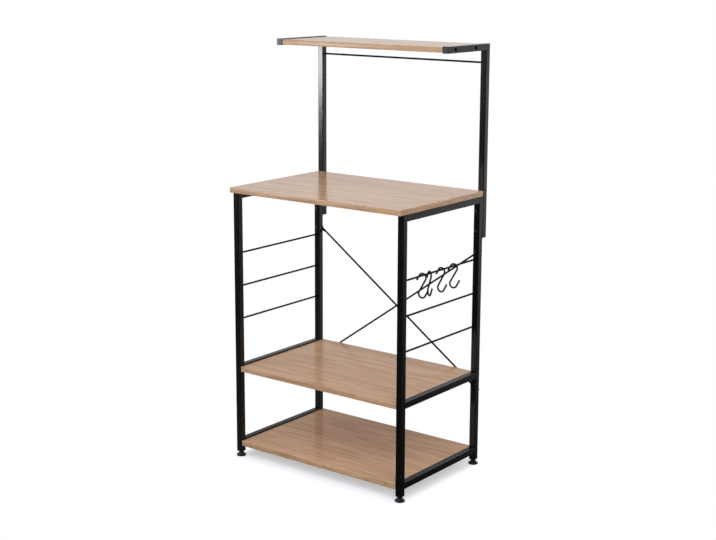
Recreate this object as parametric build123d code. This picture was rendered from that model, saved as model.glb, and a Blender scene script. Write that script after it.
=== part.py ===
from build123d import *
import math
import os

# A kitchen shelving unit. Two welded side frames of square tube carry a worktop and two lower
# shelves, and two uprights bolted behind them carry a narrow shelf over the worktop.
# Millimetres. +X is to the right, +Y to the back and +Z up. The origin is on the floor, midway
# across the frame and midway between the worktop's front edge and the uprights' back faces.

# Square tube, round rod and board
tube = 19.0
tube_wall = 1.2
tube_corner = 2.0
tube_bore_corner = 0.8
rod_radius = 2.75
board_thickness = 15.0
board_corner = 3.0
board_edge = 0.8

# Main frame: outer sizes, heights above the floor, and the side rods below the worktop
frame_width = 600.0
frame_depth = 385.0
worktop_overhang = 15.0
worktop_underside_z = 793.5
middle_rail_top_z = 281.0
bottom_rail_top_z = 53.0
upper_rod_drop = 179.5
side_rod_pitch = 98.0
shelf_end_gap = 1.0

# Raised part: the uprights reach down behind the rear posts, the arms reach forward
unit_height = 1220.0
upright_overlap = 120.5
arm_length = 208.0
tie_rod_drop = 53.0

# Back brace: its bolts lie above the upper side rod and below the middle rail
brace_top_rise = 21.0
brace_foot_drop = 39.0
brace_tab_thickness = 2.0
brace_tab_width = 12.0
brace_tab_length = 20.0
brace_rod_inset = 11.0
brace_wall_gap = 0.3
brace_cross_gap = 0.3
brace_bend_radius = 400.0

# Bolts and nuts
bolt_radius = 3.0
bolt_head_radius = 5.0
bolt_head_height = 3.0
bolt_head_round = 1.6
bolt_key_width = 4.0
bolt_key_depth = 1.8
bolt_hole_clearance = 0.25
bolt_tail = 1.5
nut_width = 10.0
nut_height = 5.0
thread_clearance = 0.05
hutch_bolt_margin = 22.0
hutch_bolt_pitch = 57.5

# Top shelf bolts, counted from the arm's front end, and the inserts in the board's ends
top_shelf_bolt_inset = 38.0
top_shelf_bolt_pitch = 100.0
insert_radius = 4.5
insert_length = 13.0
insert_clearance = 0.05
insert_bolt_bite = 11.0

# Wood screws and the plates that carry the two lower shelves
screw_radius = 2.0
screw_head_radius = 4.0
screw_head_height = 2.4
screw_head_round = 1.2
screw_tip = 3.0
screw_tip_radius = 0.4
screw_bite = 10.5
screw_hole_clearance = 0.25
pilot_clearance = 0.05
pilot_spare = 1.0
tab_thickness = 2.0
tab_length = 30.0
tab_reach = 27.0
tab_weld_width = 11.0
tab_corner = 4.0
tab_screw_reach = 15.0
rail_screw_inset = 60.0

# End caps and leg plugs in the tube's ends
cap_flange = 2.5
cap_round = 0.8
cap_shank = 14.0
plug_flange = 2.0
plug_round = 0.5
plug_shank = 24.0
cap_clearance = 0.1

# Feet
foot_height = 14.5
foot_base_radius = 14.0
foot_rim_height = 3.5
foot_rim_round = 1.0
foot_neck_radius = 7.0
foot_neck_z = 10.0
foot_socket_z = 4.0
stud_radius = 4.0
stud_length = 34.0
stud_clearance = 0.05
stud_end_gap = 0.2

# Wire hooks on the right frame's upper rod: places along the rod and turns about the vertical
hook_wire_radius = 2.5
hook_loop_radius = 11.0
hook_spine = 40.0
hook_top_tip = 17.0
hook_bottom_tip = 20.0
hook_rod_gap = 0.3
hook_place_shares = (0.244, 0.340, 0.504, 0.680)
hook_turns = (3, -33, -4, 5)

overrun = 1.0

# Planes and heights that follow from the sizes above
frame_side_x = frame_width / 2
rail_inner_x = frame_side_x - tube
post_x = frame_side_x - tube / 2
worktop_depth = worktop_overhang + frame_depth
worktop_front_y = -(worktop_depth + tube) / 2
frame_front_y = worktop_front_y + worktop_overhang
frame_back_y = frame_front_y + frame_depth
rail_front_y = frame_front_y + tube
rail_length = frame_depth - 2 * tube
upright_y = frame_back_y + tube / 2
upright_back_y = frame_back_y + tube
post_y = {"front": frame_front_y + tube / 2, "rear": frame_back_y - tube / 2}
side_sign = {"left": -1, "right": 1}
post_foot_z = foot_height + plug_flange
rail_top_z = {"top": worktop_underside_z, "middle": middle_rail_top_z, "bottom": bottom_rail_top_z}
upper_rod_z = worktop_underside_z - upper_rod_drop
side_rod_z = {
    "upper": upper_rod_z,
    "middle": upper_rod_z - side_rod_pitch,
    "lower": upper_rod_z - 2 * side_rod_pitch,
}
arm_underside_z = unit_height - tube
arm_middle_z = unit_height - tube / 2
arm_front_y = upright_back_y - arm_length
upright_foot_z = worktop_underside_z - upright_overlap
brace_top_z = upper_rod_z + brace_top_rise
brace_foot_z = middle_rail_top_z - tube - brace_foot_drop
hutch_bolt_z = [upright_foot_z + hutch_bolt_margin + row * hutch_bolt_pitch for row in range(2)]
rail_screw_y = [rail_front_y + rail_screw_inset, rail_front_y + rail_length - rail_screw_inset]
top_shelf_bolt_y = [arm_front_y + top_shelf_bolt_inset + row * top_shelf_bolt_pitch for row in range(2)]

# Turns that lay a piece made along +Z the other way
quarter_turn = 90
toward_back = Rot(X=-quarter_turn)
toward_right = Rot(Y=quarter_turn)
toward_left = Rot(Y=-quarter_turn)


def round_bar(radius, length):
    """A round bar standing on the XY plane."""
    return extrude(Circle(radius), length)


def square_tube(length):
    """A length of the square tube standing on the XY plane."""
    bore = tube - 2 * tube_wall
    section = RectangleRounded(tube, tube, tube_corner)
    section -= RectangleRounded(bore, bore, tube_bore_corner)
    return extrude(section, length)


def rounded_board(width, depth):
    """A board with eased edges, centred in X, its front edge at y = 0 and its underside at z = 0."""
    slab = extrude(RectangleRounded(width, depth, board_corner), board_thickness)
    faces = slab.faces().sort_by(Axis.Z)
    slab = fillet(faces[0].edges() + faces[-1].edges(), board_edge)
    return Pos(0, depth / 2, 0) * slab


def tube_plug(flange, flange_round, shank):
    """A plug for a tube's end: the flange stands on z = 0, and the shank goes up into the tube."""
    cover = extrude(RectangleRounded(tube, tube, tube_corner), flange)
    cover = fillet(cover.faces().sort_by(Axis.Z)[0].edges(), flange_round)
    bore = tube - 2 * tube_wall - 2 * cap_clearance
    core = extrude(RectangleRounded(bore, bore, tube_bore_corner), shank)
    return cover + Pos(0, 0, flange) * core


def bolt(shank_length):
    """A button-head bolt along +Z, seated on z = 0, with a hexagon socket in the head."""
    head = extrude(Circle(bolt_head_radius), -bolt_head_height)
    head = fillet(head.faces().sort_by(Axis.Z)[0].edges(), bolt_head_round)
    key = RegularPolygon(bolt_key_width / 2, 6, major_radius=False)
    head -= Pos(0, 0, -bolt_head_height) * extrude(key, bolt_key_depth)
    return head + round_bar(bolt_radius, shank_length)


def nut():
    """A hexagon nut standing on the XY plane."""
    body = extrude(RegularPolygon(nut_width / 2, 6, major_radius=False), nut_height)
    return body - round_bar(bolt_radius + thread_clearance, nut_height)


def wood_screw(grip):
    """A pan-head screw along +Z, seated on z = 0, through a grip of metal and then into a board."""
    head = extrude(Circle(screw_head_radius), -screw_head_height)
    head = fillet(head.faces().sort_by(Axis.Z)[0].edges(), screw_head_round)
    shank = round_bar(screw_radius, grip + screw_bite - screw_tip)
    tip = Cone(screw_radius, screw_tip_radius, screw_tip, align=(Align.CENTER, Align.CENTER, Align.MIN))
    return head + shank + Pos(0, 0, grip + screw_bite - screw_tip) * tip


def pilot_hole():
    """The blind hole for a wood screw, going up from z = 0."""
    return round_bar(screw_radius + pilot_clearance, screw_bite + pilot_spare)


def bolt_way(length):
    """The clearance hole for a bolt, going up from z = 0 and out past both faces."""
    return Pos(0, 0, -overrun) * round_bar(bolt_radius + bolt_hole_clearance, length + 2 * overrun)


def post(side, row):
    """A post of the side frame; the rear ones are drilled for the brace and the uprights."""
    x = side_sign[side] * post_x
    body = Pos(x, post_y[row], post_foot_z) * square_tube(worktop_underside_z - post_foot_z)
    if row == "rear":
        for z in [brace_top_z, brace_foot_z] + hutch_bolt_z:
            body -= Pos(x, frame_back_y - tube, z) * toward_back * bolt_way(tube)
    return body


def rail(side, level):
    """A rail between the posts; the top ones are drilled for the worktop's screws."""
    x = side_sign[side] * post_x
    body = Pos(x, rail_front_y, rail_top_z[level] - tube / 2) * toward_back * square_tube(rail_length)
    if level == "top":
        for y in rail_screw_y:
            way = round_bar(screw_radius + screw_hole_clearance, tube + 2 * overrun)
            body -= Pos(x, y, worktop_underside_z - tube - overrun) * way
    return body


def side_rod(side, level):
    """A round rod between the posts."""
    x = side_sign[side] * post_x
    return Pos(x, rail_front_y, side_rod_z[level]) * toward_back * round_bar(rod_radius, rail_length)


def worktop():
    """The worktop lies on the top rails and the posts, and stands forward of them."""
    board = Pos(0, worktop_front_y, worktop_underside_z) * rounded_board(frame_width, worktop_depth)
    for sign in side_sign.values():
        for y in rail_screw_y:
            board -= Pos(sign * post_x, y, worktop_underside_z) * pilot_hole()
    return board


def lower_shelf(level):
    """A shelf between the side frames, level with the underside of its rails."""
    width = 2 * (rail_inner_x - shelf_end_gap)
    underside = rail_top_z[level] - tube
    board = Pos(0, frame_front_y, underside) * rounded_board(width, frame_depth)
    for sign in side_sign.values():
        for y in rail_screw_y:
            board -= Pos(sign * (rail_inner_x - tab_screw_reach), y, underside) * pilot_hole()
    return board


def shelf_tabs(level):
    """The four plates under a level's rails, which reach in under the shelf."""
    plates = []
    for sign in side_sign.values():
        for y in rail_screw_y:
            middle = rail_inner_x + (tab_weld_width - tab_reach) / 2
            plate = extrude(RectangleRounded(tab_reach + tab_weld_width, tab_length, tab_corner), tab_thickness)
            plate = Pos(sign * middle, y, rail_top_z[level] - tube - tab_thickness) * plate
            hole = round_bar(screw_radius + screw_hole_clearance, tab_thickness + 2 * overrun)
            screw_x = sign * (rail_inner_x - tab_screw_reach)
            plates.append(plate - Pos(screw_x, y, rail_top_z[level] - tube - tab_thickness - overrun) * hole)
    return plates


def shelf_screws(level):
    """The four screws up through a level's tabs into the shelf."""
    z = rail_top_z[level] - tube - tab_thickness
    reach = rail_inner_x - tab_screw_reach
    return [Pos(sign * reach, y, z) * wood_screw(tab_thickness)
            for sign in side_sign.values() for y in rail_screw_y]


def worktop_screws():
    """The four screws up through the top rails into the worktop."""
    return [Pos(sign * post_x, y, worktop_underside_z - tube) * wood_screw(tube)
            for sign in side_sign.values() for y in rail_screw_y]


def mitre_plane(x):
    """The 45 degree cut between an upright and its arm, facing up and forward."""
    return Plane(origin=(x, frame_back_y, arm_underside_z), z_dir=(0, -1, 1))


def upright(side):
    """An upright behind a rear post, cut to the mitre at its top."""
    x = side_sign[side] * post_x
    tube_foot_z = upright_foot_z + cap_flange
    body = Pos(x, upright_y, tube_foot_z) * square_tube(unit_height - tube_foot_z)
    body = split(body, bisect_by=mitre_plane(x), keep=Keep.BOTTOM)
    for z in hutch_bolt_z:
        body -= Pos(x, frame_back_y, z) * toward_back * bolt_way(tube)
    return body


def shelf_arm(side):
    """An arm that reaches forward from the mitre and carries the top shelf's end."""
    x = side_sign[side] * post_x
    tube_front_y = arm_front_y + cap_flange
    body = Pos(x, tube_front_y, arm_middle_z) * toward_back * square_tube(arm_length - cap_flange)
    body = split(body, bisect_by=mitre_plane(x), keep=Keep.TOP)
    for y in top_shelf_bolt_y:
        body -= Pos(x - tube / 2, y, arm_middle_z) * toward_right * bolt_way(tube)
    return body


def top_shelf():
    """The narrow shelf between the arms, with a bored hole for each insert in its ends."""
    width = 2 * (rail_inner_x - shelf_end_gap)
    board = Pos(0, arm_front_y, arm_middle_z - board_thickness / 2) * rounded_board(width, arm_length)
    for sign, turn in ((-1, toward_right), (1, toward_left)):
        for y in top_shelf_bolt_y:
            hole = Pos(0, 0, -overrun) * round_bar(insert_radius + insert_clearance, insert_length + overrun)
            board -= Pos(sign * width / 2, y, arm_middle_z) * turn * hole
    return board


def top_shelf_inserts():
    """The threaded inserts in the ends of the top shelf."""
    sleeve = round_bar(insert_radius, insert_length) - round_bar(bolt_radius + thread_clearance, insert_length)
    end_x = rail_inner_x - shelf_end_gap
    return [Pos(sign * end_x, y, arm_middle_z) * turn * sleeve
            for sign, turn in ((-1, toward_right), (1, toward_left)) for y in top_shelf_bolt_y]


def top_shelf_bolts():
    """The bolts through the arms into the inserts."""
    shank = tube + shelf_end_gap + insert_bolt_bite
    return [Pos(sign * frame_side_x, y, arm_middle_z) * turn * bolt(shank)
            for sign, turn in ((-1, toward_right), (1, toward_left)) for y in top_shelf_bolt_y]


def tie_rod():
    """The round rod between the uprights, below the top shelf."""
    bar = round_bar(rod_radius, 2 * rail_inner_x)
    return Pos(-rail_inner_x, upright_y, unit_height - tie_rod_drop) * toward_right * bar


def hutch_bolts():
    """The bolts from the front through the rear posts and the uprights."""
    shank = 2 * tube + nut_height + bolt_tail
    return [Pos(sign * post_x, frame_back_y - tube, z) * toward_back * bolt(shank)
            for sign in side_sign.values() for z in hutch_bolt_z]


def hutch_nuts():
    """The nuts on the back of the uprights."""
    return [Pos(sign * post_x, upright_back_y, z) * toward_back * nut()
            for sign in side_sign.values() for z in hutch_bolt_z]


def brace_rod(slope, bow):
    """A brace rod whose ends are hammered flat and wide; slope is 1 where its left end is the lower."""
    run = 2 * post_x
    rise = brace_top_z - brace_foot_z
    half_length = math.hypot(run, rise) / 2
    rod_end = half_length - brace_rod_inset
    rod_y = brace_wall_gap + rod_radius
    if bow:
        half_turn = math.atan2(bow, rod_end)
        apex = bow + brace_bend_radius * (1 / math.cos(half_turn) - 1)
        path = FilletPolyline((-rod_end, 0, 0), (0, apex, 0), (rod_end, 0, 0), radius=brace_bend_radius)
        rod = sweep(Plane(origin=path @ 0, z_dir=path % 0) * Circle(rod_radius), path=path)
    else:
        rod = Pos(-rod_end, 0, 0) * toward_right * round_bar(rod_radius, 2 * rod_end)
    rod = Pos(0, rod_y, 0) * rod
    for sign in (-1, 1):
        eye = Pos(sign * half_length, 0) * Circle(brace_tab_width / 2)
        neck = Pos(sign * (half_length - brace_tab_length), 0) * Circle(rod_radius)
        rod += toward_back * extrude(make_hull(eye.edges() + neck.edges()), brace_tab_thickness)
        rod -= Pos(sign * half_length, 0, 0) * toward_back * bolt_way(brace_tab_thickness)
    tilt = math.degrees(math.atan2(rise, run))
    return Pos(0, frame_back_y, (brace_top_z + brace_foot_z) / 2) * Rot(Y=-slope * tilt) * rod


def brace_bolts():
    """The bolts from the front through the rear posts and the brace's flattened ends."""
    shank = tube + brace_tab_thickness + nut_height + bolt_tail
    return [Pos(sign * post_x, frame_back_y - tube, z) * toward_back * bolt(shank)
            for sign in side_sign.values() for z in (brace_top_z, brace_foot_z)]


def brace_nuts():
    """The nuts behind the brace's flattened ends."""
    return [Pos(sign * post_x, frame_back_y + brace_tab_thickness, z) * toward_back * nut()
            for sign in side_sign.values() for z in (brace_top_z, brace_foot_z)]


def arm_cap(side):
    """The cap in an arm's front end."""
    cap = tube_plug(cap_flange, cap_round, cap_shank)
    return Pos(side_sign[side] * post_x, arm_front_y, arm_middle_z) * toward_back * cap


def upright_cap(side):
    """The cap in an upright's foot."""
    cap = tube_plug(cap_flange, cap_round, cap_shank)
    return Pos(side_sign[side] * post_x, upright_y, upright_foot_z) * cap


def leg_plug(side, row):
    """The plug in a post's foot, bored for the stud."""
    plug = tube_plug(plug_flange, plug_round, plug_shank)
    way = round_bar(stud_radius + stud_clearance, plug_flange + plug_shank + 2 * overrun)
    plug -= Pos(0, 0, -overrun) * way
    return Pos(side_sign[side] * post_x, post_y[row], foot_height) * plug


def foot_stud(side, row):
    """The threaded stud, held in the pad and screwed up into the plug."""
    z = foot_socket_z + stud_end_gap
    return Pos(side_sign[side] * post_x, post_y[row], z) * round_bar(stud_radius, stud_length)


def foot_pad(side, row):
    """The foot: a round base that narrows to a neck, with a socket for the stud."""
    socket_radius = stud_radius + stud_clearance
    outline = Polyline(
        (0, 0),
        (foot_base_radius, 0),
        (foot_base_radius, foot_rim_height),
        (foot_neck_radius, foot_neck_z),
        (foot_neck_radius, foot_height),
        (socket_radius, foot_height),
        (socket_radius, foot_socket_z),
        (0, foot_socket_z),
        close=True,
    )
    pad = revolve(Plane.XZ * make_face(outline), Axis.Z)
    pad = fillet(pad.edges().filter_by(GeomType.CIRCLE).sort_by(SortBy.RADIUS)[-2:], foot_rim_round)
    return Pos(side_sign[side] * post_x, post_y[row], 0) * pad


def hook_lean():
    """The angle at which the hook's middle of mass hangs under the rod, from its wire's moments."""
    r = hook_loop_radius
    sideways = r * (hook_spine - hook_top_tip + 2 * math.pi * r + 3 * hook_bottom_tip)
    below = (hook_spine**2 + hook_top_tip**2 - hook_bottom_tip**2) / 2
    below += hook_spine * (math.pi * r + hook_bottom_tip)
    return math.degrees(math.atan2(sideways, below))


def hook(place_share, turn):
    """An S of round wire, hung by its upper loop on the right frame's upper rod."""
    r = hook_loop_radius
    top_tip = (-r, 0, -hook_top_tip)
    spine_foot = (r, 0, -hook_spine)
    bottom_tip = (3 * r, 0, hook_bottom_tip - hook_spine)
    path = Wire([
        Line(top_tip, (-r, 0, 0)),
        ThreePointArc((-r, 0, 0), (0, 0, r), (r, 0, 0)),
        Line((r, 0, 0), spine_foot),
        ThreePointArc(spine_foot, (2 * r, 0, -hook_spine - r), (3 * r, 0, -hook_spine)),
        Line((3 * r, 0, -hook_spine), bottom_tip),
    ])
    wire = sweep(Plane(origin=top_tip, z_dir=(0, 0, 1)) * Circle(hook_wire_radius), path=path)
    loop_drop = r - hook_wire_radius - rod_radius - hook_rod_gap
    y = rail_front_y + place_share * rail_length
    return Pos(post_x, y, upper_rod_z - loop_drop) * Rot(Z=turn) * Rot(Y=hook_lean()) * wire


pieces = {
    "worktop": [worktop()],
    "middle_shelf": [lower_shelf("middle")],
    "bottom_shelf": [lower_shelf("bottom")],
    "top_shelf": [top_shelf()],
    "tie_rod": [tie_rod()],
    "brace_rod_straight": [brace_rod(-1, 0)],
    "brace_rod_bowed": [brace_rod(1, 2 * rod_radius + brace_cross_gap)],
    "brace_bolts": brace_bolts(),
    "brace_nuts": brace_nuts(),
    "hutch_bolts": hutch_bolts(),
    "hutch_nuts": hutch_nuts(),
    "worktop_screws": worktop_screws(),
    "top_shelf_bolts": top_shelf_bolts(),
    "top_shelf_inserts": top_shelf_inserts(),
}
for level in ("middle", "bottom"):
    pieces[f"{level}_shelf_tabs"] = shelf_tabs(level)
    pieces[f"{level}_shelf_screws"] = shelf_screws(level)
for side in side_sign:
    for row in post_y:
        pieces[f"{side}_{row}_post"] = [post(side, row)]
        pieces[f"{side}_{row}_leg_plug"] = [leg_plug(side, row)]
        pieces[f"{side}_{row}_foot_stud"] = [foot_stud(side, row)]
        pieces[f"{side}_{row}_foot_pad"] = [foot_pad(side, row)]
    for level in rail_top_z:
        pieces[f"{side}_{level}_rail"] = [rail(side, level)]
    for level in side_rod_z:
        pieces[f"{side}_{level}_rod"] = [side_rod(side, level)]
    pieces[f"{side}_upright"] = [upright(side)]
    pieces[f"{side}_upright_cap"] = [upright_cap(side)]
    pieces[f"{side}_arm"] = [shelf_arm(side)]
    pieces[f"{side}_arm_cap"] = [arm_cap(side)]
for number, (place_share, turn) in enumerate(zip(hook_place_shares, hook_turns), start=1):
    pieces[f"hook_{number}"] = [hook(place_share, turn)]

os.makedirs("parts", exist_ok=True)
for name, solids in pieces.items():
    export_step(Compound([solid.solid() for solid in solids]), f"parts/{name}.step")
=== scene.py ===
import math

import bmesh
import bpy
from mathutils import Matrix, Vector


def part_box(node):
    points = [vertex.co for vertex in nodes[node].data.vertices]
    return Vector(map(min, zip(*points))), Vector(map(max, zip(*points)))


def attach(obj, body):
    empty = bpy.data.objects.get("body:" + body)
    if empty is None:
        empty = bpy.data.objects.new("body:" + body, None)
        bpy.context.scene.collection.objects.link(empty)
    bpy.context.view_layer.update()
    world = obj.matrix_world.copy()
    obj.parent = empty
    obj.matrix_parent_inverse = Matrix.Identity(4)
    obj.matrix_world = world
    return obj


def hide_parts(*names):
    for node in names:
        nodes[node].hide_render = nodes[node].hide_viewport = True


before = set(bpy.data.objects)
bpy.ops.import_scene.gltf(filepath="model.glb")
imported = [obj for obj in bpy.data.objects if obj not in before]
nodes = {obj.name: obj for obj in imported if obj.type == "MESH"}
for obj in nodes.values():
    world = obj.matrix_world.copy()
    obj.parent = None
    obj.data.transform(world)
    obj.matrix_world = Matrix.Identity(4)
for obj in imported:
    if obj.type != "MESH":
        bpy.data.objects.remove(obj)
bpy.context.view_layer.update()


# Side frames
# Each side is two posts, three rails and three rods of mild steel, welded into a ladder and then
# sprayed with polyester powder and baked, so tube and rod wear one unbroken black coat.

mm = 0.001
sides = ("left", "right")
rows = ("front", "rear")
noise_low, noise_high = 0.3, 0.7  # nearly all values of a noise pattern lie between these


def linear(hex_colour):
    """Turns an sRGB hex value into linear RGBA."""
    channels = [int(hex_colour[i:i + 2], 16) / 255 for i in (0, 2, 4)]
    return (*[c / 12.92 if c <= 0.04045 else ((c + 0.055) / 1.055) ** 2.4 for c in channels], 1.0)


def scale_for(size_mm):
    """The scale of a pattern whose features are that many millimetres apart."""
    return 1 / (size_mm * mm)


def add_node(tree, kind, inputs=None, **settings):
    """Adds a node, sets its properties, and gives its inputs values or links."""
    node = tree.nodes.new(kind)
    for name, value in settings.items():
        setattr(node, name, value)
    for name, value in (inputs or {}).items():
        if isinstance(value, bpy.types.NodeSocket):
            tree.links.new(value, node.inputs[name])
        else:
            node.inputs[name].default_value = value
    return node


def new_material(name):
    """An empty material: itself, its node tree and its main shader."""
    material = bpy.data.materials.new(name)
    material.use_nodes = True
    return material, material.node_tree, material.node_tree.nodes["Principled BSDF"]


def rounded_edge_mask(tree, normal):
    """Is 1 on the rounded edges of a piece whose flat faces lie along X, Y and Z."""
    flat, rounded = 0.985, 0.86
    size = add_node(tree, "ShaderNodeVectorMath", {0: normal}, operation="ABSOLUTE")
    axes = add_node(tree, "ShaderNodeSeparateXYZ", {0: size.outputs[0]})
    side = add_node(tree, "ShaderNodeMath", {0: axes.outputs[0], 1: axes.outputs[1]}, operation="MAXIMUM")
    most = add_node(tree, "ShaderNodeMath", {0: side.outputs[0], 1: axes.outputs[2]}, operation="MAXIMUM")
    mask = add_node(tree, "ShaderNodeMapRange", {"Value": most.outputs[0], "From Min": flat,
                                                 "From Max": rounded}, interpolation_type="SMOOTHSTEP")
    return mask.outputs[0]


def powder_coat(name, rubbed_edges, rough, specular):
    """Baked polyester powder: satin black with a fine orange peel, and a little paler along edges where
    handling has thinned it.
    """
    dark, light, pale_edge_tone = "060607", "0C0C0D", "2A2A2E"
    orange_peel_mm = 1.6  # about 1 mm on the real coat, drawn coarser to show
    peel_depth_mm, peel_strength = 0.05, 0.08
    thickness_cloud_mm = 60
    rub_length_mm = 35
    rub_low, rub_high, most_rubbed_share = 0.35, 0.75, 0.55
    rough_spread = 0.03
    material, tree, shader = new_material(name)
    place = add_node(tree, "ShaderNodeTexCoord")
    peel = add_node(tree, "ShaderNodeTexNoise", {"Vector": place.outputs["Object"], "Detail": 2.0,
                                                 "Scale": scale_for(orange_peel_mm)})
    cloud = add_node(tree, "ShaderNodeTexNoise", {"Vector": place.outputs["Object"], "Detail": 3.0,
                                                  "Scale": scale_for(thickness_cloud_mm)})
    colour = add_node(tree, "ShaderNodeMix", {0: cloud.outputs["Fac"], 6: linear(dark), 7: linear(light)},
                      data_type="RGBA").outputs[2]
    if rubbed_edges:
        rub = add_node(tree, "ShaderNodeTexNoise", {"Vector": place.outputs["Object"], "Detail": 4.0,
                                                    "Scale": scale_for(rub_length_mm)})
        patches = add_node(tree, "ShaderNodeMapRange", {"Value": rub.outputs["Fac"], "From Min": rub_low,
                                                        "From Max": rub_high, "To Max": most_rubbed_share})
        edges = add_node(tree, "ShaderNodeMath", {0: rounded_edge_mask(tree, place.outputs["Normal"]),
                                                  1: patches.outputs[0]}, operation="MULTIPLY")
        colour = add_node(tree, "ShaderNodeMix", {0: edges.outputs[0], 6: colour, 7: linear(pale_edge_tone)},
                          data_type="RGBA").outputs[2]
    gloss = add_node(tree, "ShaderNodeMapRange", {"Value": peel.outputs["Fac"], "From Min": noise_low,
                                                  "From Max": noise_high, "To Min": rough - rough_spread,
                                                  "To Max": rough + rough_spread})
    bump = add_node(tree, "ShaderNodeBump", {"Height": peel.outputs["Fac"], "Strength": peel_strength,
                                             "Distance": peel_depth_mm * mm})
    tree.links.new(colour, shader.inputs["Base Color"])
    tree.links.new(gloss.outputs[0], shader.inputs["Roughness"])
    tree.links.new(bump.outputs[0], shader.inputs["Normal"])
    shader.inputs["Specular IOR Level"].default_value = specular
    return material


def dress(node, material):
    """Gives a node of the frame its finished material."""
    for slot in nodes[node].material_slots:
        slot.material = material


tube_coat = powder_coat("polyester_powder_coat_on_square_tube", rubbed_edges=True, rough=0.15, specular=0.5)
rod_coat = powder_coat("polyester_powder_coat_on_round_rod", rubbed_edges=False, rough=0.5, specular=0.2)
rails = [f"{side}_{level}_rail" for side in sides for level in ("top", "middle", "bottom")]
side_rods = [f"{side}_{level}_rod" for side in sides for level in ("upper", "middle", "lower")]
for post in (f"{side}_{row}_post" for side in sides for row in rows):
    dress(post, tube_coat)
for rail in rails:
    dress(rail, tube_coat)
for rod in side_rods:
    dress(rod, rod_coat)


# Welds
# Short beads of weld metal, laid from a wire-fed torch in overlapping pools, hold the rails and the
# rods to the posts. They were coated together with the tubes.

tube_corner = 2 * mm
weld_leg = 3.2 * mm
rod_weld_leg = 1.6 * mm
weld_pool = 1.9 * mm
weld_ripple_share = 0.16


def finished(name, bm, material, body, smooth_degrees=40):
    """Turns a built mesh into a piece that rides on a body and takes its finish from a slot."""
    bmesh.ops.recalc_face_normals(bm, faces=bm.faces[:])
    for face in bm.faces:
        face.smooth = True
    for edge in bm.edges:
        edge.smooth = edge.is_manifold and edge.calc_face_angle() < math.radians(smooth_degrees)
    mesh = bpy.data.meshes.new(name)
    bm.to_mesh(mesh)
    bm.free()
    mesh.materials.append(material)
    piece = bpy.data.objects.new(name, mesh)
    bpy.context.scene.collection.objects.link(piece)
    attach(piece, body)
    return piece


def join_rings(bm, rings, closed):
    """Skins a row of equal rings of vertices. If closed, the last joins the first, else ends are capped."""
    count = len(rings[0])
    pairs = list(zip(rings, rings[1:] + rings[:1])) if closed else list(zip(rings, rings[1:]))
    for near, far in pairs:
        for i in range(count):
            bm.faces.new((near[i], near[(i + 1) % count], far[(i + 1) % count], far[i]))
    if not closed:
        bm.faces.new(rings[0])
        bm.faces.new(rings[-1])


def fillet_weld(bm, start, end, along_a, along_b):
    """A bead in the corner between two faces, rippled by its pools and thinner at its ends."""
    steps_per_pool = 4
    arc_steps = 6
    end_share, taper_rate = 0.35, 5
    hollow_power = 1.3
    steps = steps_per_pool * round((end - start).length / weld_pool)
    arc = [math.pi / 2 * k / arc_steps for k in range(arc_steps + 1)]
    rings = []
    for i in range(steps + 1):
        share = i / steps
        corner = start.lerp(end, share)
        pool = abs(math.sin(math.pi * share * steps / steps_per_pool))
        taper = min(1, end_share + taper_rate * min(share, 1 - share))
        leg = weld_leg * taper * (1 - weld_ripple_share * (1 - pool))
        ring = []
        for turn in arc:
            out_a = math.cos(turn) ** hollow_power * along_a
            out_b = math.sin(turn) ** hollow_power * along_b
            ring.append(corner + leg * (out_a + out_b))
        rings.append([bm.verts.new(point) for point in ring + [corner]])
    join_rings(bm, rings, closed=False)


def ring_weld(bm, centre, axis, radius):
    """A bead round the end of a rod, in the corner between the rod and the face that it stands on."""
    steps_per_pool = 5
    section_shares = ((0, 0), (1, 0), (0.55, 0.4), (0.15, 0.85), (0, 1))
    across = axis.orthogonal().normalized()
    beside = axis.cross(across)
    pools = round(2 * math.pi * radius / weld_pool)
    steps = steps_per_pool * pools
    rings = []
    for i in range(steps):
        turn = 2 * math.pi * i / steps
        out = math.cos(turn) * across + math.sin(turn) * beside
        leg = rod_weld_leg * (1 - weld_ripple_share * (1 - abs(math.sin(turn * pools / 2))))
        ring = [centre + (radius + o * leg) * out + a * leg * axis for o, a in section_shares]
        rings.append([bm.verts.new(point) for point in ring])
    join_rings(bm, rings, closed=True)


beads = bmesh.new()
for rail in rails:
    low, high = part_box(rail)
    levels = [(low.z, -1)] if "_top_" in rail else [(low.z, -1), (high.z, 1)]
    for z, up in levels:
        for y, inward in ((low.y, 1), (high.y, -1)):
            start = Vector((low.x + tube_corner, y, z))
            end = Vector((high.x - tube_corner, y, z))
            fillet_weld(beads, start, end, Vector((0, inward, 0)), Vector((0, 0, up)))
finished("rail_welds", beads, rod_coat, "frame")

beads = bmesh.new()
for rod in side_rods:
    low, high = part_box(rod)
    middle = (low + high) / 2
    for y, inward in ((low.y, 1), (high.y, -1)):
        ring_weld(beads, Vector((middle.x, y, middle.z)), Vector((0, inward, 0)), (high.z - low.z) / 2)
finished("side_rod_welds", beads, rod_coat, "frame")


# Leg plugs and levelling feet
# A moulded plug closes each post and holds a nut for the M8 stud, which stands in a moulded foot.
# The plastic is black polypropylene from a spark-eroded mould; the stud is zinc plated.

stud_pitch = 1.25 * mm


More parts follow.
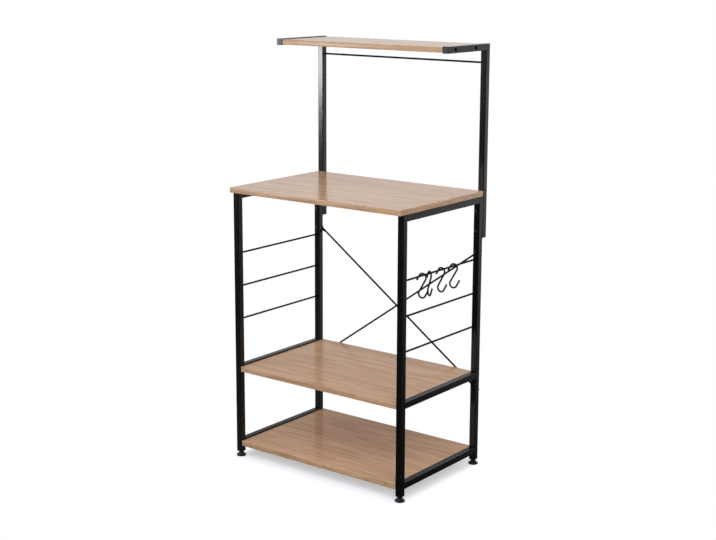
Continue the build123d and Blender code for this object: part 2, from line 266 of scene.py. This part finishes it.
def moulded_plastic(name):
    """Moulded polypropylene: even black, a dull mould grain, and rounded edges painted a little paler as a
    highlight, where they catch a little more light.
    """
    # The third tone is a painted highlight for the rounded edges.
    dark, light, pale_edge_tone = "0E0E0F", "19191A", "3A3A3D"
    mould_grain_mm = 1.2  # about 0.3 mm on the real part, drawn coarser to show
    grain_depth_mm, grain_strength = 0.1, 0.2
    flow_mark_mm = 14
    painted_sheen_share = 0.3
    smooth, rough = 0.22, 0.34
    polypropylene_ior = 1.49
    material, tree, shader = new_material(name)
    place = add_node(tree, "ShaderNodeTexCoord")
    grain = add_node(tree, "ShaderNodeTexNoise", {"Vector": place.outputs["Object"], "Detail": 2.0,
                                                  "Scale": scale_for(mould_grain_mm)})
    flow = add_node(tree, "ShaderNodeTexNoise", {"Vector": place.outputs["Object"], "Detail": 2.0,
                                                 "Scale": scale_for(flow_mark_mm)})
    colour = add_node(tree, "ShaderNodeMix", {0: flow.outputs["Fac"], 6: linear(dark), 7: linear(light)},
                      data_type="RGBA")
    # The rounded edges are painted a paler tone, a painted highlight where they catch light.
    edges = add_node(tree, "ShaderNodeMath", {0: rounded_edge_mask(tree, place.outputs["Normal"]),
                                              1: painted_sheen_share}, operation="MULTIPLY")
    painted_edge_highlight = add_node(tree, "ShaderNodeMix", {0: edges.outputs[0], 6: colour.outputs[2], 7: linear(pale_edge_tone)},
                    data_type="RGBA")
    gloss = add_node(tree, "ShaderNodeMapRange", {"Value": grain.outputs["Fac"], "From Min": noise_low,
                                                  "From Max": noise_high, "To Min": smooth, "To Max": rough})
    bump = add_node(tree, "ShaderNodeBump", {"Height": grain.outputs["Fac"], "Strength": grain_strength,
                                             "Distance": grain_depth_mm * mm})
    tree.links.new(painted_edge_highlight.outputs[2], shader.inputs["Base Color"])
    tree.links.new(gloss.outputs[0], shader.inputs["Roughness"])
    tree.links.new(bump.outputs[0], shader.inputs["Normal"])
    shader.inputs["IOR"].default_value = polypropylene_ior
    return material


def plated_steel(name, dark, light, rough):
    """Plated steel: metal with clouded tones from the bath and fine turning marks in its gloss."""
    cloud_mm = 5
    turning_mm = 0.8
    rough_spread = 0.06
    material, tree, shader = new_material(name)
    place = add_node(tree, "ShaderNodeTexCoord")
    cloud = add_node(tree, "ShaderNodeTexNoise", {"Vector": place.outputs["Object"], "Detail": 3.0,
                                                  "Scale": scale_for(cloud_mm)})
    colour = add_node(tree, "ShaderNodeMix", {0: cloud.outputs["Fac"], 6: linear(dark), 7: linear(light)},
                      data_type="RGBA")
    marks = add_node(tree, "ShaderNodeTexNoise", {"Vector": place.outputs["Object"], "Detail": 1.0,
                                                  "Scale": scale_for(turning_mm)})
    gloss = add_node(tree, "ShaderNodeMapRange", {"Value": marks.outputs["Fac"], "From Min": noise_low,
                                                  "From Max": noise_high, "To Min": rough - rough_spread,
                                                  "To Max": rough + rough_spread})
    tree.links.new(colour.outputs[2], shader.inputs["Base Color"])
    tree.links.new(gloss.outputs[0], shader.inputs["Roughness"])
    shader.inputs["Metallic"].default_value = 1.0
    return material


def threaded_rod(name, low, high, pitch, material, body):
    """A right-hand thread between two corners of a standing rod's box, with its ends chamfered."""
    depth_share = 0.54
    crest_slope = 1.25
    points_around = 24
    rings_per_turn = 8
    radius = (high.x - low.x) / 2
    depth = depth_share * pitch
    levels = rings_per_turn * round((high.z - low.z) / pitch)
    bm = bmesh.new()
    rings = []
    for level in range(levels + 1):
        z = low.z + (high.z - low.z) * level / levels
        chamfer = max(0, depth - min(z - low.z, high.z - z))
        ring = []
        for i in range(points_around):
            phase = ((z - low.z) / pitch - i / points_around) % 1
            crest = min(1, crest_slope * (1 - abs(2 * phase - 1)))
            reach = min(radius - depth * (1 - crest), radius - chamfer)
            turn = 2 * math.pi * i / points_around
            ring.append(bm.verts.new((
                (low.x + high.x) / 2 + reach * math.cos(turn),
                (low.y + high.y) / 2 + reach * math.sin(turn),
                z,
            )))
        rings.append(ring)
    join_rings(bm, rings, closed=False)
    return finished(name, bm, material, body, smooth_degrees=60)


black_plastic = moulded_plastic("black_polypropylene_moulded")
bright_zinc = plated_steel("bright_zinc_plated_steel", dark="A4A8AB", light="C9CCCD", rough=0.3)
for corner in (f"{side}_{row}" for side in sides for row in rows):
    dress(f"{corner}_leg_plug", black_plastic)
    dress(f"{corner}_foot_pad", black_plastic)
    low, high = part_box(f"{corner}_foot_stud")
    stud = threaded_rod(f"{corner}_threaded_stud", low, high, stud_pitch, bright_zinc, f"{corner}_stud")
    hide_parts(f"{corner}_foot_stud")


# Lower shelves
# Boards of 15 mm chipboard, faced on both sides with a light oak melamine print and closed round
# their edges by a 1 mm strip of the same print. Screws through welded plates hold them from below.

strip_thickness = 1.0 * mm
strip_seam = 0.12 * mm
board_corner = 3 * mm
board_edge = 0.8 * mm
face_tones = ("AE845F", "D3A987", "E2BC9D")
strip_tones = ("9A734F", "B8916D", "C6A17E")


def grain_vector(tree, shift):
    """The place on the print, with its first axis along the grain: X on faces and long edges, Y on ends."""
    end_facing = 0.7
    place = add_node(tree, "ShaderNodeTexCoord")
    axes = add_node(tree, "ShaderNodeSeparateXYZ", {0: place.outputs["Object"]})
    turned = add_node(tree, "ShaderNodeCombineXYZ", {0: axes.outputs[1], 1: axes.outputs[0],
                                                     2: axes.outputs[2]})
    facing = add_node(tree, "ShaderNodeSeparateXYZ", {0: place.outputs["Normal"]})
    size = add_node(tree, "ShaderNodeMath", {0: facing.outputs[0]}, operation="ABSOLUTE")
    on_end = add_node(tree, "ShaderNodeMath", {0: size.outputs[0], 1: end_facing}, operation="GREATER_THAN")
    chosen = add_node(tree, "ShaderNodeMix", {0: on_end.outputs[0], 4: place.outputs["Object"],
                                              5: turned.outputs[0]}, data_type="VECTOR")
    moved = add_node(tree, "ShaderNodeVectorMath", {0: chosen.outputs[1], 1: shift}, operation="ADD")
    return moved.outputs[0], place.outputs["Normal"]


def oak_print(name, shift, tones, rough, specular):
    """Light oak melamine: streaks and pores printed along the grain under a satin, faintly pressed face."""
    dark, middle, light = tones
    # The eased edges are painted a paler tone, a painted highlight along the arrises of the boards and
    # strips.
    painted_highlight_tone, painted_highlight_share = "E2CDB2", 0.4
    rough_spread = 0.03
    pore_depth_mm, pore_strength = 0.05, 0.12
    sway_mm, sway_reach_mm = (300, 90), 7
    sway_low, sway_high = 0.25, 0.75
    # Each layer: its sizes in mm along and across the grain, its noise's detail and the range of it that
    # shows, how much it shows at most, its tone, and how that is laid on.
    layers = {
        "fibres": ((220, 3), 3.0, (0.36, 0.66), 1.0, light, "MIX"),
        "figure": ((170, 12), 3.0, (0.42, 0.68), 0.5, dark, "MIX"),
        "planks": ((900, 70), 1.0, (0.35, 0.65), 0.25, dark, "MIX"),
        "pores": ((34, 1.3), 2.0, (0.56, 0.68), 0.35, dark, "MULTIPLY"),  # drawn twice as wide, to show
    }
    material, tree, shader = new_material(name)
    grain, normal = grain_vector(tree, shift)

    def grain_noise(place, sizes, detail):
        """Noise that is stretched along the grain."""
        stretch = (scale_for(sizes[0]), scale_for(sizes[1]), scale_for(sizes[1]))
        spot = add_node(tree, "ShaderNodeVectorMath", {0: place, 1: stretch}, operation="MULTIPLY")
        return add_node(tree, "ShaderNodeTexNoise", {"Vector": spot.outputs[0], "Scale": 1.0,
                                                     "Detail": detail}).outputs["Fac"]

    reach = sway_reach_mm * mm
    sway = add_node(tree, "ShaderNodeMapRange", {"Value": grain_noise(grain, sway_mm, 1.0),
                                                 "From Min": sway_low, "From Max": sway_high,
                                                 "To Min": -reach, "To Max": reach})
    bent_by = add_node(tree, "ShaderNodeCombineXYZ", {1: sway.outputs[0]})
    bent = add_node(tree, "ShaderNodeVectorMath", {0: grain, 1: bent_by.outputs[0]}, operation="ADD")
    colour = linear(middle)
    shown = {}
    for layer, (sizes, detail, (faint, full), most, tone, how) in layers.items():
        streaks = grain_noise(bent.outputs[0], sizes, detail)
        share = add_node(tree, "ShaderNodeMapRange", {"Value": streaks, "From Min": faint, "From Max": full,
                                                      "To Max": most}, interpolation_type="SMOOTHSTEP")
        colour = add_node(tree, "ShaderNodeMix", {0: share.outputs[0], 6: colour, 7: linear(tone)},
                          data_type="RGBA", blend_type=how).outputs[2]
        shown[layer] = share.outputs[0]
    # Painted highlight: the rounded edges are mixed towards the paler tone.
    painted_edge_highlight = add_node(tree, "ShaderNodeMath", {0: rounded_edge_mask(tree, normal), 1: painted_highlight_share},
                    operation="MULTIPLY")
    colour = add_node(tree, "ShaderNodeMix", {0: painted_edge_highlight.outputs[0], 6: colour, 7: linear(painted_highlight_tone)},
                      data_type="RGBA").outputs[2]
    gloss = add_node(tree, "ShaderNodeMapRange", {"Value": shown["fibres"], "To Min": rough - rough_spread,
                                                  "To Max": rough + rough_spread},
                     interpolation_type="SMOOTHSTEP")
    bump = add_node(tree, "ShaderNodeBump", {"Height": shown["pores"], "Strength": pore_strength,
                                             "Distance": pore_depth_mm * mm}, invert=True)
    tree.links.new(colour, shader.inputs["Base Color"])
    tree.links.new(gloss.outputs[0], shader.inputs["Roughness"])
    tree.links.new(bump.outputs[0], shader.inputs["Normal"])
    shader.inputs["Specular IOR Level"].default_value = specular
    return material


def corner_walk(low, high, inset, z):
    """The outline of a board at a height, set in from its edge, with round corners."""
    steps = 6
    radius = board_corner - inset
    corners = ((high.x, high.y, 0), (low.x, high.y, 90), (low.x, low.y, 180), (high.x, low.y, 270))
    points = []
    for x, y, start in corners:
        centre_x = x - math.copysign(board_corner, x - (low.x + high.x) / 2)
        centre_y = y - math.copysign(board_corner, y - (low.y + high.y) / 2)
        for i in range(steps + 1):
            turn = math.radians(start + 90 * i / steps)
            points.append((centre_x + radius * math.cos(turn), centre_y + radius * math.sin(turn), z))
    return points


def oak_board(board, shift):
    """A board in place of its plain solid: a faced panel, and an eased strip round its edges."""
    round_steps = 4
    low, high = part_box(board)
    face_print = oak_print(f"light_oak_melamine_on_{board}", shift, face_tones, rough=0.19, specular=0.32)
    strip_print = oak_print(f"light_oak_edge_strip_on_{board}", shift, strip_tones, rough=0.28,
                            specular=0.65)
    bm = bmesh.new()
    seam = strip_thickness + strip_seam
    section = ((seam, low.z), (strip_thickness, low.z + strip_seam),
               (strip_thickness, high.z - strip_seam), (seam, high.z))
    rings = [[bm.verts.new(point) for point in corner_walk(low, high, inset, z)] for inset, z in section]
    join_rings(bm, rings, closed=False)
    panel = finished(f"{board}_panel", bm, face_print, "frame", smooth_degrees=20)
    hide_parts(board)

    bm = bmesh.new()
    section = [(strip_thickness, low.z + strip_seam), (strip_thickness - strip_seam, low.z)]
    for i in range(round_steps + 1):
        turn = math.pi / 2 * i / round_steps
        section.append((board_edge * (1 - math.sin(turn)), low.z + board_edge * (1 - math.cos(turn))))
    section += [(inset, low.z + high.z - z) for inset, z in reversed(section)]
    rings = [[bm.verts.new(point) for point in corner_walk(low, high, inset, z)] for inset, z in section]
    join_rings(bm, rings, closed=True)
    finished(f"{board}_edge_strip", bm, strip_print, "frame", smooth_degrees=35)


oak_board("bottom_shelf", shift=(0.73, 0.41, 0.05))
oak_board("middle_shelf", shift=(2.31, 1.17, 0.11))
for level in ("bottom", "middle"):
    dress(f"{level}_shelf_tabs", tube_coat)
    dress(f"{level}_shelf_screws", bright_zinc)


# Worktop
# The widest board, made as the shelves are. It lies on the top rails and the posts, stands forward of
# them, and is held by four screws that come up through the top rails.

oak_board("worktop", shift=(0.0, 0.0, 0.0))
dress("worktop_screws", bright_zinc)


# Back brace
# Two crossed rods with hammered-flat ends, one bowed to clear the other, bolted behind the rear posts.
# Coated steel rods; button-head bolts and hexagon nuts in black zinc.

black_zinc = plated_steel("black_zinc_plated_steel", dark="3A3B3D", light="565759", rough=0.36)
nut_chamfer = 0.5 * mm


def dress_nuts(node):
    """Nuts with the edges of their hexagons broken."""
    dress(node, black_zinc)
    chamfer = nodes[node].modifiers.new("chamfer", "BEVEL")
    chamfer.width = nut_chamfer
    chamfer.segments = 2
    chamfer.limit_method = "ANGLE"


for rod in ("brace_rod_straight", "brace_rod_bowed"):
    dress(rod, rod_coat)
dress("brace_bolts", black_zinc)
dress_nuts("brace_nuts")


# Uprights, arms and tie rod
# An upright and its arm are one tube mitred and welded at the corner, with a moulded cap in each open
# end. Two bolts hold each upright to its rear post, and a welded rod ties the two uprights together.

for side in sides:
    dress(f"{side}_upright", tube_coat)
    dress(f"{side}_arm", tube_coat)
    dress(f"{side}_upright_cap", black_plastic)
    dress(f"{side}_arm_cap", black_plastic)
dress("tie_rod", rod_coat)
dress("hutch_bolts", black_zinc)
dress_nuts("hutch_nuts")

beads = bmesh.new()
low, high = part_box("tie_rod")
middle = (low + high) / 2
for x, inward in ((low.x, 1), (high.x, -1)):
    ring_weld(beads, Vector((x, middle.y, middle.z)), Vector((inward, 0, 0)), (high.z - low.z) / 2)
finished("tie_rod_welds", beads, rod_coat, "frame")


# Top shelf
# A narrow board of the same print between the arms. Bolts through the arms run into threaded sleeves
# that are set in its ends.

oak_board("top_shelf", shift=(1.21, 2.63, 0.07))
dress("top_shelf_inserts", bright_zinc)
dress("top_shelf_bolts", black_zinc)


# Hooks
# Four S-hooks bent from 5 mm wire, dipped in black enamel, which hang loose on the right frame's upper
# rod and swing about it.

def enamelled_wire(name):
    """Dipped enamel: thick glossy black with slow waves where it ran before it set."""
    dark, light = "0B0B0C", "17171A"
    run_mm = 6
    run_depth_mm, run_strength = 0.1, 0.2
    smooth, rough = 0.3, 0.4
    enamel_specular = 0.3
    material, tree, shader = new_material(name)
    place = add_node(tree, "ShaderNodeTexCoord")
    runs = add_node(tree, "ShaderNodeTexNoise", {"Vector": place.outputs["Object"], "Detail": 2.0,
                                                 "Scale": scale_for(run_mm)})
    colour = add_node(tree, "ShaderNodeMix", {0: runs.outputs["Fac"], 6: linear(dark), 7: linear(light)},
                      data_type="RGBA")
    gloss = add_node(tree, "ShaderNodeMapRange", {"Value": runs.outputs["Fac"], "From Min": noise_low,
                                                  "From Max": noise_high, "To Min": smooth, "To Max": rough})
    bump = add_node(tree, "ShaderNodeBump", {"Height": runs.outputs["Fac"], "Strength": run_strength,
                                             "Distance": run_depth_mm * mm})
    tree.links.new(colour.outputs[2], shader.inputs["Base Color"])
    tree.links.new(gloss.outputs[0], shader.inputs["Roughness"])
    tree.links.new(bump.outputs[0], shader.inputs["Normal"])
    shader.inputs["Specular IOR Level"].default_value = enamel_specular
    return material


black_enamel = enamelled_wire("black_enamel_dipped_wire")
for hook in (f"hook_{number}" for number in range(1, 5)):
    dress(hook, black_enamel)


# Floor
# A plain sheet of white studio paper. It takes the shadow under the unit, and further off it is as white
# as the surroundings. In gloss it is bright behind the unit at the left and dim elsewhere.

floor_size = 40.0
shadow_half = (0.304, 0.21, 0.0)  # half the width and depth of the ground in shadow
shadow_fade = (-0.018, 0.008)  # the shadow fades from inside that line to outside it
shadow_fill = 0.43
paper_tone = "D2DAE4"
back_left = (-0.64, 0.77, 0)
mirror_dim, mirror_bright = 0.03, 0.85
floor_brightens = (-0.5, 2.0)  # metres towards the back left
bm = bmesh.new()
bmesh.ops.create_grid(bm, x_segments=1, y_segments=1, size=floor_size / 2)
mesh = bpy.data.meshes.new("studio_floor")
bm.to_mesh(mesh)
bm.free()
floor = bpy.data.objects.new("studio_floor", mesh)
bpy.context.scene.collection.objects.link(floor)
paper, tree, shader = new_material("white_studio_paper")
tree.nodes.remove(shader)
place = add_node(tree, "ShaderNodeTexCoord")
reach = add_node(tree, "ShaderNodeVectorMath", {0: place.outputs["Object"]}, operation="ABSOLUTE")
past = add_node(tree, "ShaderNodeVectorMath", {0: reach.outputs[0], 1: shadow_half}, operation="SUBTRACT")
axes = add_node(tree, "ShaderNodeSeparateXYZ", {0: past.outputs[0]})
edge = add_node(tree, "ShaderNodeMath", {0: axes.outputs[0], 1: axes.outputs[1]}, operation="MAXIMUM")
far = add_node(tree, "ShaderNodeMapRange", {"Value": edge.outputs[0], "From Min": shadow_fade[0],
                                            "From Max": shadow_fade[1]}, interpolation_type="SMOOTHSTEP")
toward = add_node(tree, "ShaderNodeVectorMath", {0: place.outputs["Object"], 1: back_left},
                  operation="DOT_PRODUCT")
behind = add_node(tree, "ShaderNodeMapRange", {"Value": toward.outputs["Value"],
                                               "From Min": floor_brightens[0], "From Max": floor_brightens[1],
                                               "To Min": mirror_dim, "To Max": mirror_bright},
                  interpolation_type="SMOOTHSTEP")
path = add_node(tree, "ShaderNodeLightPath")
mirrored = add_node(tree, "ShaderNodeMath", {0: path.outputs["Is Glossy Ray"],
                                             1: path.outputs["Is Transmission Ray"]}, operation="MAXIMUM")
matte = add_node(tree, "ShaderNodeBsdfDiffuse", {"Color": linear(paper_tone)})
fill = add_node(tree, "ShaderNodeEmission", {"Strength": shadow_fill})
shaded = add_node(tree, "ShaderNodeAddShader", {0: matte.outputs[0], 1: fill.outputs[0]})
white = add_node(tree, "ShaderNodeEmission", {"Strength": 1.0})
seen = add_node(tree, "ShaderNodeMixShader", {0: far.outputs[0], 1: shaded.outputs[0], 2: white.outputs[0]})
lit = add_node(tree, "ShaderNodeMixShader", {0: path.outputs["Is Camera Ray"], 1: matte.outputs[0],
                                             2: seen.outputs[0]})
mirror_white = add_node(tree, "ShaderNodeEmission", {"Strength": behind.outputs[0]})
surface = add_node(tree, "ShaderNodeMixShader", {0: mirrored.outputs[0], 1: lit.outputs[0],
                                                 2: mirror_white.outputs[0]})
tree.links.new(surface.outputs[0], tree.nodes["Material Output"].inputs["Surface"])
mesh.materials.append(paper)


# Light
# Two large softboxes high at the front, of which gloss sees only the left one, one behind, and one low and
# far off, which the upper tubes mirror. Gloss sees a white wall low at the back left, in a dim room.

ambient = 0.3
wall_brightens = (-0.25, 0.95)  # share of a direction that points to the back left
wall_top = (0.18, 0.36)  # the wall fades between these shares of a direction that point up
above_wall_share = 0.3


def softbox(name, place, aim, width, height, radiance, mirrored=True):
    """A soft rectangular lamp that the camera doesn't see. Gloss sees it where mirrored is true."""
    lamp = bpy.data.lights.new(name, "AREA")
    lamp.shape = "RECTANGLE"
    lamp.size = width
    lamp.size_y = height
    lamp.energy = radiance * math.pi * width * height
    box = bpy.data.objects.new(name, lamp)
    bpy.context.scene.collection.objects.link(box)
    box.location = place
    box.rotation_euler = (Vector(aim) - Vector(place)).to_track_quat("-Z", "Y").to_euler()
    box.visible_camera = False
    box.visible_glossy = mirrored


softbox("left_softbox", place=(-1.6, -2.5, 2.6), aim=(0, 0, 0.6), width=3.0, height=3.0, radiance=1.5)
softbox("right_softbox", place=(2.25, -2.0, 2.55), aim=(0.1, 0, 0.6), width=3.0, height=3.0, radiance=2.9,
        mirrored=False)
softbox("rear_softbox", place=(0, 3.4, 1.7), aim=(0, 0, 0.7), width=3.2, height=3.2, radiance=1.2)
softbox("low_far_softbox", place=(-7.03, -7.80, 0.42), aim=(0, 0, 0.42), width=1.9, height=0.76,
        radiance=21.0)

surroundings = bpy.data.worlds.new("white_studio")
bpy.context.scene.world = surroundings
surroundings.use_nodes = True
tree = surroundings.node_tree
background = tree.nodes["Background"]
place = add_node(tree, "ShaderNodeTexCoord")
toward = add_node(tree, "ShaderNodeVectorMath", {0: place.outputs["Generated"], 1: back_left},
                  operation="DOT_PRODUCT")
behind = add_node(tree, "ShaderNodeMapRange", {"Value": toward.outputs["Value"],
                                               "From Min": wall_brightens[0], "From Max": wall_brightens[1],
                                               "To Min": mirror_dim, "To Max": mirror_bright},
                  interpolation_type="SMOOTHSTEP")
axes = add_node(tree, "ShaderNodeSeparateXYZ", {0: place.outputs["Generated"]})
low_down = add_node(tree, "ShaderNodeMapRange", {"Value": axes.outputs[2], "From Min": wall_top[0],
                                                 "From Max": wall_top[1], "To Min": 1.0,
                                                 "To Max": above_wall_share},
                    interpolation_type="SMOOTHSTEP")
wall = add_node(tree, "ShaderNodeMath", {0: behind.outputs[0], 1: low_down.outputs[0]},
                operation="MULTIPLY")
path = add_node(tree, "ShaderNodeLightPath")
mirrored = add_node(tree, "ShaderNodeMath", {0: path.outputs["Is Glossy Ray"],
                                             1: path.outputs["Is Transmission Ray"]}, operation="MAXIMUM")
lit = add_node(tree, "ShaderNodeMix", {0: mirrored.outputs[0], 2: ambient, 3: wall.outputs[0]},
               data_type="FLOAT")
white = add_node(tree, "ShaderNodeMix", {0: path.outputs["Is Camera Ray"], 2: lit.outputs[0], 3: 1.0},
                 data_type="FLOAT")
background.inputs["Color"].default_value = linear("FFFFFF")
tree.links.new(white.outputs[0], background.inputs["Strength"])


# Camera
# It stands to the front right, a little above the top shelf, and looks slightly down. The lens is a
# short telephoto, and the frame is shifted down a little.

image_width = 716
camera_place = Vector((2.35126, -3.06182, 1.44714))
yaw, pitch, roll = (math.radians(angle) for angle in (37.503, -11.526, 0.208))
focal_pixels = 1378.28
centre_drop_pixels = 30
lens = bpy.data.cameras.new("camera")
lens.sensor_width = 36.0
lens.lens = lens.sensor_width * focal_pixels / image_width
lens.shift_y = -centre_drop_pixels / image_width
camera = bpy.data.objects.new("camera", lens)
bpy.context.scene.collection.objects.link(camera)
heading = Matrix.Rotation(yaw, 4, "Z")
tilt = Matrix.Rotation(math.pi / 2 + pitch, 4, "X")
camera.matrix_world = Matrix.Translation(camera_place) @ heading @ tilt @ Matrix.Rotation(roll, 4, "Z")
bpy.context.scene.camera = camera
bpy.context.scene.view_settings.view_transform = "Standard"
